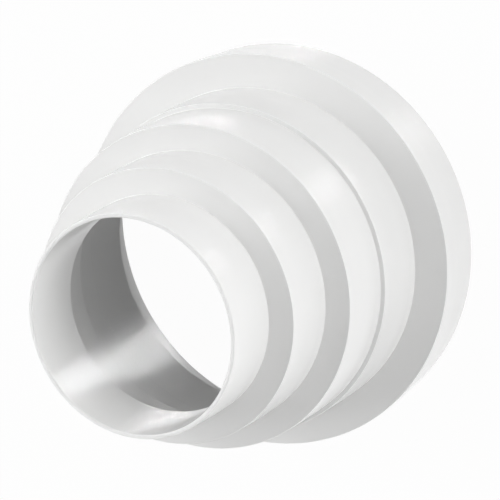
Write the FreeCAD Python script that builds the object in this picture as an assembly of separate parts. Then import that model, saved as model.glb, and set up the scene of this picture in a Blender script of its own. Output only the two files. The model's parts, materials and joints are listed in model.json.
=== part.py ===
import FreeCAD, Part
import math
import os

# A stepped duct reducer, moulded in one piece, in millimetres.
# Its axis is +Z. It stands on its large rim, and the centre of that rim is the origin.

# Inner diameters of the ducts that push onto the collars, from the small end to the large one
first_duct_diameter = 80.0
second_duct_diameter = 100.0
third_duct_diameter = 120.0
fourth_duct_diameter = 125.0
fifth_duct_diameter = 150.0

# The whole part from rim to rim, and the collars along it, each from its free edge or
# shoulder to the next shoulder. The fifth collar takes what the others leave.
whole_length = 125.0
first_collar_length = 24.0
second_collar_length = 24.0
third_collar_length = 25.0
fourth_collar_length = 26.0
other_collars_length = (
    first_collar_length + second_collar_length + third_collar_length + fourth_collar_length
)
fifth_collar_length = whole_length - other_collars_length

# Walls: a collar's is measured at its seat, a shoulder's along the axis
collar_wall = 2.3
shoulder_wall = 1.6

# Each collar has a straight seat at its root, as wide as its duct, and narrows from there
# to the edge that the duct is pushed over. The tapers are what its radius loses on the way.
seat_length = 8.0
push_taper = 0.8
mouth_taper = 0.5

# Small flats that break the edges: of the rims, and of each shoulder at its free edge
# and its root outside, and at its free edge and its root inside
rim_break = 0.4
edge_break = 0.5
root_break = 0.6
inner_edge_break = 0.3
inner_root_break = 0.8

# A flat takes at most this share of the shorter straight run beside it
break_share = 0.45

duct_diameters = [
    first_duct_diameter,
    second_duct_diameter,
    third_duct_diameter,
    fourth_duct_diameter,
    fifth_duct_diameter,
]
collar_lengths = [
    first_collar_length,
    second_collar_length,
    third_collar_length,
    fourth_collar_length,
    fifth_collar_length,
]
seat_radii = [diameter / 2 for diameter in duct_diameters]
bore_radii = [radius - collar_wall for radius in seat_radii]


def collar_tops():
    """Height of each collar's upper end, from the small collar down to the large one."""
    tops = []
    height = whole_length
    for length in collar_lengths:
        tops.append(height)
        height -= length
    return tops


def outside_corners():
    """The outline's outer side, from the small rim down to the large one, as (radius, height, break)."""
    tops = collar_tops()
    last = len(seat_radii) - 1
    corners = []
    for place in range(last):
        free_edge_break = rim_break if place == 0 else edge_break
        root = tops[place + 1]
        corners.append((seat_radii[place] - push_taper, tops[place], free_edge_break))
        corners.append((seat_radii[place], root + seat_length, 0.0))
        corners.append((seat_radii[place], root, root_break))
    corners.append((seat_radii[last], tops[last], edge_break))
    corners.append((seat_radii[last], tops[last] - seat_length, 0.0))
    corners.append((seat_radii[last] - mouth_taper, 0.0, rim_break))
    return corners


def inside_corners():
    """The outline's inner side, from the large rim up to the small one, as (radius, height, break)."""
    tops = collar_tops()
    last = len(bore_radii) - 1
    corners = [(bore_radii[last], 0.0, rim_break)]
    for place in range(last, 0, -1):
        step = seat_radii[place] - seat_radii[place - 1]
        underside = tops[place] - math.copysign(shoulder_wall, step)
        corners.append((bore_radii[place], underside, inner_root_break))
        corners.append((bore_radii[place - 1], underside, inner_edge_break))
    corners.append((bore_radii[0], tops[0], rim_break))
    return corners


def without_repeats(corners):
    """The corners less any that stands on the one before it, as where two ducts are the same size."""
    kept = []
    for corner in corners:
        if not kept or math.dist(corner[:2], kept[-1][:2]) > 1e-6:
            kept.append(corner)
    return kept


def broken_outline(corners):
    """A closed wire in the XZ plane, each corner cut by a small flat of its own size."""
    corners = without_repeats(corners)
    vectors = [FreeCAD.Vector(radius, 0, height) for radius, height, _ in corners]
    points = []
    for place, point in enumerate(vectors):
        back = vectors[place - 1] - point
        ahead = vectors[(place + 1) % len(vectors)] - point
        cut = min(corners[place][2], break_share * min(back.Length, ahead.Length))
        if cut > 0:
            points.append(point + back.normalize() * cut)
            points.append(point + ahead.normalize() * cut)
        else:
            points.append(point)
    return Part.makePolygon(points + points[:1])


def reducer_body():
    """Five stepped collars and four flat shoulders, turned from one outline."""
    section = Part.Face(broken_outline(outside_corners() + inside_corners()))
    return section.revolve(FreeCAD.Vector(0, 0, 0), FreeCAD.Vector(0, 0, 1), 360)


def main():
    os.makedirs("parts", exist_ok=True)
    body = reducer_body()
    body.exportStep("parts/reducer_body.step")
    print("reducer_body", body.ShapeType, "valid", body.isValid(), "volume", round(body.Volume, 1))


main()
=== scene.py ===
"""Duct reducer: the moulded shell, its white plastic, and a small photo studio."""

import json
import math

import bmesh
import bpy
from mathutils import Matrix, Vector


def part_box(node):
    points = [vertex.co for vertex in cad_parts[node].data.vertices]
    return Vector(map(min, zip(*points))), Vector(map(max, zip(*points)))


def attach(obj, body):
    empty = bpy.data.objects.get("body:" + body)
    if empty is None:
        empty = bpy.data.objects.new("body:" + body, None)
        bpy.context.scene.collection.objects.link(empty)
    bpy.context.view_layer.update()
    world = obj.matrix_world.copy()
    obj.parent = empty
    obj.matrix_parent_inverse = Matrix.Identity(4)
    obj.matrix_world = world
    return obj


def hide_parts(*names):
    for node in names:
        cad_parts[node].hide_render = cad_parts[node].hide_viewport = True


bl_info = {
    "name": "Duct reducer",
    "version": (1, 0, 0),
    "blender": (4, 5, 0),
    "location": "View3D > Sidebar > Duct reducer",
    "description": "Models a stepped duct reducer over its CAD frame and lights it",
    "category": "Object",
}

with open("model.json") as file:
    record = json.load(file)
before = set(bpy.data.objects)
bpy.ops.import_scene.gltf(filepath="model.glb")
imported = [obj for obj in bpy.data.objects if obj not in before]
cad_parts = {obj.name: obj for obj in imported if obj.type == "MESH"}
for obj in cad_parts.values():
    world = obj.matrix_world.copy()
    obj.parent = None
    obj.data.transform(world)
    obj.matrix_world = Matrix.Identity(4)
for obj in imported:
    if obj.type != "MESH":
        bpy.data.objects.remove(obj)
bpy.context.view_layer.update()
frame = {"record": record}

MM = 0.001
BODY = "root"
NODE = "reducer_body"
SHELL_NAME = "reducer_shell"
FLOOR_FINISH = "studio_floor_white"

# Steps across a blend and across a round, and the profile of a true round
BLEND_STEPS = 6
ROUND_STEPS = 5
TRUE_ROUND = 0.5

# How far a point may lie from its ring, how near two points are merged, and the weight that
# makes shading follow the larger faces
RING_REACH = 0.02 * MM
MERGE_REACH = 0.001 * MM
LARGER_FACES = 100

# Scale and detail of the plastic's noises, and the middle range of a noise that is spread out
TONE_NOISE = (28.0, 3.0)
ROUGHNESS_NOISE = (90.0, 4.0)
WAVE_NOISE = (35.0, 1.0)
GRAIN_NOISE = (1400.0, 2.0)
NOISE_MIDDLE = (0.3, 0.7)

# The window sheet's points round its hole, and how many times the hole's size it reaches
WINDOW_POINTS = 96
WINDOW_REACH = 40

# The camera's sensor in millimetres, and the nearest distance it shows in metres
SENSOR_WIDTH = 36.0
NEAREST_SEEN = 0.01

# The studio's soft lamps, all far away: the side each one stands on, its height above the floor
# and its width, in degrees, and its strength. The floor stops the low and the high lamps. The
# low ones don't show in the gloss, where the shoulders would mirror them as plain white. The
# floor lets the others through, which stand below it: the outer gloss lamps show in the gloss of
# the outside alone, and the mouth lamps shine through a window below the large mouth.
LOW_LAMPS = (
    ("back_left_low", 135, 12, 50, 1.04),
    ("left_low", 180, 10, 44, 0.77),
    ("front_left_low", 225, 10, 44, 0.83),
    ("front_low", 270, 10, 44, 1.38),
)
HIGH_LAMPS = (
    ("front_high", 270, 36, 44, 0.37),
    ("front_right_high", 318, 40, 44, 0.41),
    ("right_high", 0, 36, 30, 0.52),
    ("right_back_high", 32, 38, 26, 1.01),
    ("back_right_high", 60, 40, 26, 0.7),
    ("back_high", 90, 36, 44, 0.44),
)
MOUTH_LAMPS = (("mouth_level", 270, -5, 8, 0.8),)
OUTER_GLOSS_LAMPS = (
    ("front_under", 285, -56, 14, 0.055),
    ("front_deep_under", 291, -66, 14, 0.03),
    ("right_under", 18, -57, 18, 0.08),
)
MOUTH_GLOSS_LAMPS = (
    ("bore_front", 291, -57, 16, 0.34),
    ("bore_front_wide", 295, -57, 34, 0.22),
    ("bore_right", 36, -57, 20, 0.16),
)


def collar_diameter(mount_name):
    """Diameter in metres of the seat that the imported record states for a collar."""
    for mount in frame["record"]["mounts"]:
        if mount["name"] == mount_name:
            return 2 * mount["dims"]["r_mm"] * MM
    raise RuntimeError(f"the record has no mount called {mount_name}")


def box_height():
    """Height in metres of the CAD node's box."""
    low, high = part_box(NODE)
    return high[2] - low[2]


def box_width():
    """The widest diameter in metres that stays inside the CAD node's box on every side."""
    low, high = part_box(NODE)
    return 2 * min(-low[0], high[0], -low[1], high[1])


def length_setting(name, description, default):
    """A length in metres that a user may change."""
    return bpy.props.FloatProperty(
        name=name,
        description=description,
        default=default,
        min=0.0,
        precision=5,
        subtype="DISTANCE",
        unit="LENGTH",
    )


def amount_setting(name, description, default):
    """A plain number that a user may change."""
    return bpy.props.FloatProperty(
        name=name,
        description=description,
        default=default,
        min=0.0,
        precision=4,
    )


def angle_setting(name, description, default_degrees):
    """An angle that a user may change."""
    return bpy.props.FloatProperty(
        name=name,
        description=description,
        default=math.radians(default_degrees),
        subtype="ANGLE",
        unit="ROTATION",
    )


def colour_setting(name, description, default):
    """A colour that a user may change."""
    return bpy.props.FloatVectorProperty(
        name=name,
        description=description,
        default=default,
        size=3,
        min=0.0,
        max=1.0,
        subtype="COLOR",
    )


class ReducerSizes(bpy.types.PropertyGroup):
    """Sizes of the moulded shell."""

    first_diameter: length_setting(
        "80 collar", "Duct size of the small collar", collar_diameter("collar_80")
    )
    second_diameter: length_setting(
        "100 collar", "Duct size of the second collar", collar_diameter("collar_100")
    )
    third_diameter: length_setting(
        "120 collar", "Duct size of the third collar", collar_diameter("collar_120")
    )
    fourth_diameter: length_setting(
        "125 collar", "Duct size of the fourth collar", collar_diameter("collar_125")
    )
    fifth_diameter: length_setting(
        "150 collar", "Duct size of the large collar", box_width()
    )
    whole_length: length_setting("Length", "The whole part from rim to rim", box_height())
    first_length: length_setting("80 collar length", "Length of the small collar", 24 * MM)
    second_length: length_setting("100 collar length", "Length of the second collar", 24 * MM)
    third_length: length_setting("120 collar length", "Length of the third collar", 25 * MM)
    fourth_length: length_setting("125 collar length", "Length of the fourth collar", 26 * MM)
    collar_wall: length_setting("Collar wall", "Wall of a collar at its seat", 2.3 * MM)
    shoulder_wall: length_setting("Shoulder wall", "Thickness of a shoulder", 1.6 * MM)
    seat_length: length_setting("Seat", "Straight part of a collar at its root", 8.0 * MM)
    push_taper: length_setting(
        "Push taper", "What a collar's radius loses from its seat to its free edge", 0.8 * MM
    )
    mouth_taper: length_setting(
        "Mouth taper", "What the large collar's radius loses from its seat to its rim", 0.5 * MM
    )
    rim_round: length_setting("Rim round", "Rounding of both rims", 0.5 * MM)
    edge_round: length_setting("Edge round", "Rounding of a shoulder's outer edge", 0.25 * MM)
    root_round: length_setting("Root fillet", "Fillet where a collar meets a shoulder", 0.25 * MM)
    seat_blend: length_setting("Seat blend", "Half of the blend from seat to taper", 3.0 * MM)
    ring_points: bpy.props.IntProperty(
        name="Points round",
        description="Points round the shell",
        default=360,
        min=32,
        max=1024,
    )


class ReducerPlastic(bpy.types.PropertyGroup):
    """Finish of the white plastic."""

    colour: colour_setting("Colour", "Colour of the moulded plastic", (0.86, 0.86, 0.855))
    refraction: amount_setting("Refraction", "Index of refraction of the plastic", 1.49)
    roughness: amount_setting("Roughness", "Mean roughness of the moulded surface", 0.2)
    roughness_spread: amount_setting(
        "Roughness spread", "How far the roughness strays from its mean", 0.025
    )
    tone_spread: amount_setting("Tone spread", "How far the tone strays from its mean", 0.012)
    grain_depth: length_setting("Grain depth", "Depth of the fine moulded grain", 0.004 * MM)
    wave_depth: length_setting("Wave depth", "Depth of the slow waves in the wall", 0.02 * MM)


class ReducerStudio(bpy.types.PropertyGroup):
    """Camera, floor and lamps."""

    lens: bpy.props.FloatProperty(
        name="Lens", description="Focal length in millimetres", default=154.4, min=1.0
    )
    camera_distance: length_setting(
        "Camera distance", "From the camera to the point it looks at", 0.7954
    )
    camera_height: angle_setting("Camera height", "Angle of the camera above the floor", 59.61)
    camera_roll: angle_setting("Camera roll", "Turn of the camera about its own line", -119.72)
    aim_x: length_setting("Aim beside", "The aimed point's distance beside the axis", 2.55 * MM)
    aim_z: length_setting("Aim height", "The aimed point's height above the floor", 30.6 * MM)
    floor_size: length_setting("Floor size", "Side of the square floor", 6.0)
    floor_colour: colour_setting("Floor", "Colour of the floor", (0.65, 0.65, 0.65))
    floor_glow: amount_setting(
        "Floor white", "Share of plain white that the camera sees on the floor", 0.97
    )
    window_radius: length_setting("Window", "Radius of the window below the mouth", 62 * MM)
    window_shift: length_setting("Window shift", "From the axis to the window's middle", 8 * MM)
    window_drop: length_setting("Window drop", "From the floor down to the window", 3 * MM)
    lamp_light: amount_setting("Lamps", "Strength of all the lamps together", 1.0)
    room_light: amount_setting("Room light", "Strength of the even light of the room", 0.0)


def settings():
    """The scene's three groups of settings."""
    scene = bpy.context.scene
    return scene.reducer_sizes, scene.reducer_plastic, scene.reducer_studio


def deselect_everything():
    """Leaves no object selected, the CAD nodes included."""
    for shown in bpy.context.selected_objects:
        shown.select_set(False)


def collar_tops(sizes):
    """Height of each collar's upper end, from the small collar down to the large one."""
    lengths = (sizes.first_length, sizes.second_length, sizes.third_length, sizes.fourth_length)
    tops = [sizes.whole_length]
    for length in lengths:
        tops.append(tops[-1] - length)
    return tops


def seat_radii(sizes):
    """Radius of each collar at its seat, from the small collar down to the large one."""
    diameters = (
        sizes.first_diameter,
        sizes.second_diameter,
        sizes.third_diameter,
        sizes.fourth_diameter,
        sizes.fifth_diameter,
    )
    return [diameter / 2 for diameter in diameters]


def shell_rings(sizes):
    """The shell's rings as (radius, height, kind), down the outside and up the inside."""
    tops = collar_tops(sizes)
    radii = seat_radii(sizes)
    last = len(radii) - 1
    rings = []
    for place in range(last):
        kind = "rim" if place == 0 else "edge"
        root = tops[place + 1]
        rings.append((radii[place] - sizes.push_taper, tops[place], kind))
        rings.append((radii[place], root + sizes.seat_length, "seat"))
        rings.append((radii[place], root, "root"))
    rings.append((radii[last], tops[last], "edge"))
    rings.append((radii[last], tops[last] - sizes.seat_length, "seat"))
    rings.append((radii[last] - sizes.mouth_taper, 0.0, "rim"))
    rings.append((radii[last] - sizes.collar_wall, 0.0, "rim"))
    for place in range(last, 0, -1):
        underside = tops[place] - sizes.shoulder_wall
        rings.append((radii[place] - sizes.collar_wall, underside, "root"))
        rings.append((radii[place - 1] - sizes.collar_wall, underside, "inner_edge"))
    rings.append((radii[0] - sizes.collar_wall, tops[0], "rim"))
    return rings


def select_ring_edges(mesh, rings, kind):
    """Selects, in edit mode, the edges that lie on the rings of one kind."""
    wanted = [(radius, height) for radius, height, ring_kind in rings if ring_kind == kind]
    shape = bmesh.from_edit_mesh(mesh)
    shape.select_mode = {"EDGE"}
    for edge in shape.edges:
        ends = [(math.hypot(v.co.x, v.co.y), v.co.z) for v in edge.verts]
        on_ring = any(
            all(abs(r - radius) < RING_REACH and abs(z - height) < RING_REACH for r, z in ends)
            for radius, height in wanted
        )
        edge.select_set(on_ring)
    shape.select_flush_mode()
    bmesh.update_edit_mesh(mesh)


class REDUCER_OT_shell(bpy.types.Operator):
    """Model the one-piece shell and give it its plastic"""

    bl_idname = "reducer.shell"
    bl_label = "Moulded shell"

    def execute(self, context):
        sizes, plastic, _ = settings()
        rings = shell_rings(sizes)
        shell = self.turn(sizes, rings)
        self.round_edges(sizes, rings, shell)
        self.smooth(shell)
        shell.data.materials.append(white_plastic(plastic))
        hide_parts(NODE)
        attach(shell, BODY)
        return {"FINISHED"}

    def turn(self, sizes, rings):
        """One closed skin, drawn out ring by ring from a circle."""
        deselect_everything()
        radius, height, _ = rings[0]
        bpy.ops.mesh.primitive_circle_add(
            vertices=sizes.ring_points, radius=radius, location=(0, 0, 0), fill_type="NOTHING"
        )
        shell = bpy.context.active_object
        shell.name = SHELL_NAME
        bpy.ops.object.mode_set(mode="EDIT")
        bpy.ops.mesh.select_all(action="SELECT")
        bpy.ops.transform.translate(value=(0, 0, height))
        for next_radius, next_height, _ in rings[1:]:
            rise = (0, 0, next_height - height)
            bpy.ops.mesh.extrude_edges_move(TRANSFORM_OT_translate={"value": rise})
            growth = next_radius / radius
            bpy.ops.transform.resize(
                value=(growth, growth, 1), center_override=(0, 0, next_height)
            )
            radius, height = next_radius, next_height
        bpy.ops.mesh.select_all(action="DESELECT")
        bpy.ops.mesh.select_mode(type="EDGE")
        bpy.ops.mesh.select_non_manifold()
        bpy.ops.mesh.bridge_edge_loops()
        bpy.ops.mesh.select_all(action="SELECT")
        bpy.ops.mesh.remove_doubles(threshold=MERGE_REACH)
        bpy.ops.mesh.normals_make_consistent(inside=False)
        return shell

    def round_edges(self, sizes, rings, shell):
        """Rounds every ring edge by the amount that its kind has."""
        rounds = (
            ("seat", sizes.seat_blend, BLEND_STEPS),
            ("rim", sizes.rim_round, ROUND_STEPS),
            ("edge", sizes.edge_round, ROUND_STEPS),
            ("root", sizes.root_round, ROUND_STEPS),
            ("inner_edge", sizes.edge_round, ROUND_STEPS),
        )
        for kind, amount, steps in rounds:
            select_ring_edges(shell.data, rings, kind)
            bpy.ops.mesh.bevel(
                offset=amount, segments=steps, profile=TRUE_ROUND, affect="EDGES"
            )
        bpy.ops.object.mode_set(mode="OBJECT")

    def smooth(self, shell):
        """Smooth shading whose normals follow the larger faces."""
        bpy.ops.object.shade_smooth()
        bpy.ops.object.modifier_add(type="WEIGHTED_NORMAL")
        shell.modifiers[-1].weight = LARGER_FACES
        bpy.ops.object.modifier_apply(modifier=shell.modifiers[-1].name)


def white_plastic(plastic):
    """Glossy white moulded plastic with a faint grain, slow waves and a slight play of tone."""
    material = bpy.data.materials.new("white_plastic")
    material.use_nodes = True
    nodes = material.node_tree.nodes
    links = material.node_tree.links
    shader = nodes["Principled BSDF"]
    shader.inputs["IOR"].default_value = plastic.refraction
    place = nodes.new("ShaderNodeTexCoord")

    def noise(scale, detail):
        cloud = nodes.new("ShaderNodeTexNoise")
        cloud.inputs["Scale"].default_value = scale
        cloud.inputs["Detail"].default_value = detail
        links.new(place.outputs["Object"], cloud.inputs["Vector"])
        return cloud.outputs["Fac"]

    def spread(source, low, high):
        remap = nodes.new("ShaderNodeMapRange")
        remap.inputs["From Min"].default_value = NOISE_MIDDLE[0]
        remap.inputs["From Max"].default_value = NOISE_MIDDLE[1]
        remap.inputs["To Min"].default_value = low
        remap.inputs["To Max"].default_value = high
        links.new(source, remap.inputs["Value"])
        return remap.outputs["Result"]

    tone = nodes.new("ShaderNodeMix")
    tone.data_type = "RGBA"
    tone.blend_type = "MULTIPLY"
    tone.inputs["Factor"].default_value = 1.0
    tone.inputs["A"].default_value = (*plastic.colour, 1.0)
    shade = spread(noise(*TONE_NOISE), 1 - 2 * plastic.tone_spread, 1.0)
    links.new(shade, tone.inputs["B"])
    links.new(tone.outputs["Result"], shader.inputs["Base Color"])

    low = plastic.roughness - plastic.roughness_spread
    high = plastic.roughness + plastic.roughness_spread
    links.new(spread(noise(*ROUGHNESS_NOISE), low, high), shader.inputs["Roughness"])

    waves = nodes.new("ShaderNodeBump")
    waves.inputs["Distance"].default_value = plastic.wave_depth
    links.new(noise(*WAVE_NOISE), waves.inputs["Height"])
    grain = nodes.new("ShaderNodeBump")
    grain.inputs["Distance"].default_value = plastic.grain_depth
    links.new(noise(*GRAIN_NOISE), grain.inputs["Height"])
    links.new(waves.outputs["Normal"], grain.inputs["Normal"])
    links.new(grain.outputs["Normal"], shader.inputs["Normal"])
    return material


class REDUCER_OT_stage(bpy.types.Operator):
    """Lay the floor, set the lamps and aim the camera"""

    bl_idname = "reducer.stage"
    bl_label = "Studio"

    def execute(self, context):
        _, _, studio = settings()
        self.lay_floor(studio)
        self.light_room(studio)
        window = self.lay_window(studio)
        shell = bpy.data.objects[SHELL_NAME]
        self.set_lamps(studio, LOW_LAMPS, gloss=False)
        self.set_lamps(studio, HIGH_LAMPS)
        self.set_lamps(studio, MOUTH_LAMPS, [shell, window])
        self.set_lamps(studio, OUTER_GLOSS_LAMPS, [shell], colour=False)
        self.set_lamps(studio, MOUTH_GLOSS_LAMPS, [shell, window], colour=False)
        self.aim_camera(studio)
        context.scene.view_settings.view_transform = "Standard"
        return {"FINISHED"}

    def lay_floor(self, studio):
        """A plain square floor that the part stands on."""
        deselect_everything()
        bpy.ops.mesh.primitive_plane_add(size=studio.floor_size, location=(0, 0, 0))
        floor = bpy.context.active_object
        floor.name = "studio_floor"
        floor.data.materials.append(floor_white(studio))

    def light_room(self, studio):
        """The room's even light, which is off unless a user turns it up."""
        world = bpy.data.worlds.new("studio_room")
        bpy.context.scene.world = world
        world.use_nodes = True
        back = world.node_tree.nodes["Background"]
        back.inputs["Color"].default_value = (1, 1, 1, 1)
        back.inputs["Strength"].default_value = studio.room_light

    def lay_window(self, studio):
        """A sheet below the floor with a round hole under the large mouth."""
        deselect_everything()
        bpy.ops.mesh.primitive_circle_add(
            vertices=WINDOW_POINTS,
            radius=studio.window_radius,
            location=(0, studio.window_shift, -studio.window_drop),
            fill_type="NOTHING",
        )
        window = bpy.context.active_object
        window.name = "studio_window"
        bpy.ops.object.mode_set(mode="EDIT")
        bpy.ops.mesh.select_all(action="SELECT")
        bpy.ops.mesh.extrude_edges_move()
        bpy.ops.transform.resize(value=(WINDOW_REACH, WINDOW_REACH, 1))
        bpy.ops.object.mode_set(mode="OBJECT")
        window.data.materials.append(bpy.data.materials[FLOOR_FINISH])
        return window

    def set_lamps(self, studio, lamps, stoppers=(), colour=True, gloss=True):
        """Far lamps, for the colour, the gloss or both. Only the stoppers stop them, if given."""
        for name, side, height, width, strength in lamps:
            around, rise = math.radians(side), math.radians(height)
            away = Vector(
                (
                    math.cos(around) * math.cos(rise),
                    math.sin(around) * math.cos(rise),
                    math.sin(rise),
                )
            )
            deselect_everything()
            bpy.ops.object.light_add(type="SUN", rotation=away.to_track_quat("Z", "Y").to_euler())
            lamp = bpy.context.active_object
            lamp.name = name
            lamp.data.angle = math.radians(width)
            lamp.data.energy = strength * studio.lamp_light
            lamp.visible_diffuse = colour
            lamp.visible_glossy = gloss
            if stoppers:
                self.let_past(lamp, stoppers)

    def let_past(self, lamp, stoppers):
        """Lets the lamp's light past all but the stoppers. It is then sampled from its side alone."""
        group = bpy.data.collections.new(lamp.name + "_stoppers")
        for stopper in stoppers:
            group.objects.link(stopper)
        lamp.light_linking.blocker_collection = group
        lamp.data.cycles.use_multiple_importance_sampling = False

    def aim_camera(self, studio):
        """The camera of the photograph, turned about its own line."""
        rise = studio.camera_height
        aim = Vector((studio.aim_x, 0, studio.aim_z))
        back = Vector((0, -math.cos(rise), math.sin(rise)))
        level = Matrix.Rotation(math.pi / 2 - rise, 4, "X")
        roll = Matrix.Rotation(studio.camera_roll, 4, "Z")
        deselect_everything()
        bpy.ops.object.camera_add()
        camera = bpy.context.active_object
        camera.name = "studio_camera"
        stand = Matrix.Translation(aim + back * studio.camera_distance)
        camera.matrix_world = stand @ level @ roll
        camera.data.lens = studio.lens
        camera.data.sensor_width = SENSOR_WIDTH
        camera.data.clip_start = NEAREST_SEEN
        bpy.context.scene.camera = camera


def floor_white(studio):
    """A pale floor that looks white and keeps a faint shadow."""
    material = bpy.data.materials.new(FLOOR_FINISH)
    material.use_nodes = True
    nodes = material.node_tree.nodes
    links = material.node_tree.links
    nodes.remove(nodes["Principled BSDF"])
    output = nodes["Material Output"]
    lit = nodes.new("ShaderNodeBsdfDiffuse")
    lit.inputs["Color"].default_value = (*studio.floor_colour, 1.0)
    white = nodes.new("ShaderNodeEmission")
    path = nodes.new("ShaderNodeLightPath")
    seen = nodes.new("ShaderNodeMath")
    seen.operation = "MAXIMUM"
    links.new(path.outputs["Is Camera Ray"], seen.inputs[0])
    links.new(path.outputs["Is Glossy Ray"], seen.inputs[1])
    seen_or_through = nodes.new("ShaderNodeMath")
    seen_or_through.operation = "MAXIMUM"
    links.new(seen.outputs[0], seen_or_through.inputs[0])
    links.new(path.outputs["Is Transmission Ray"], seen_or_through.inputs[1])
    share = nodes.new("ShaderNodeMath")
    share.operation = "MULTIPLY"
    share.inputs[1].default_value = studio.floor_glow
    links.new(seen_or_through.outputs[0], share.inputs[0])
    mix = nodes.new("ShaderNodeMixShader")
    links.new(share.outputs[0], mix.inputs["Fac"])
    links.new(lit.outputs[0], mix.inputs[1])
    links.new(white.outputs[0], mix.inputs[2])
    links.new(mix.outputs[0], output.inputs["Surface"])
    return material


class REDUCER_PT_sidebar(bpy.types.Panel):
    """Lists the reducer's settings and steps"""

    bl_idname = "REDUCER_PT_sidebar"
    bl_label = "Duct reducer"
    bl_space_type = "VIEW_3D"
    bl_region_type = "UI"
    bl_category = "Duct reducer"

    def draw(self, context):
        for title, group, operator in (
            ("Shell", context.scene.reducer_sizes, REDUCER_OT_shell),
            ("Plastic", context.scene.reducer_plastic, None),
            ("Studio", context.scene.reducer_studio, REDUCER_OT_stage),
        ):
            self.layout.label(text=title)
            for name in group.__annotations__:
                self.layout.prop(group, name)
            if operator:
                self.layout.operator(operator.bl_idname)


CLASSES = (
    ReducerSizes,
    ReducerPlastic,
    ReducerStudio,
    REDUCER_OT_shell,
    REDUCER_OT_stage,
    REDUCER_PT_sidebar,
)


def register():
    for kind in CLASSES:
        bpy.utils.register_class(kind)
    scene_type = bpy.types.Scene
    scene_type.reducer_sizes = bpy.props.PointerProperty(type=ReducerSizes)
    scene_type.reducer_plastic = bpy.props.PointerProperty(type=ReducerPlastic)
    scene_type.reducer_studio = bpy.props.PointerProperty(type=ReducerStudio)


def unregister():
    del bpy.types.Scene.reducer_studio
    del bpy.types.Scene.reducer_plastic
    del bpy.types.Scene.reducer_sizes
    for kind in reversed(CLASSES):
        bpy.utils.unregister_class(kind)


def main():
    register()
    bpy.ops.reducer.shell()
    bpy.ops.reducer.stage()


if __name__ == "__main__":
    main()
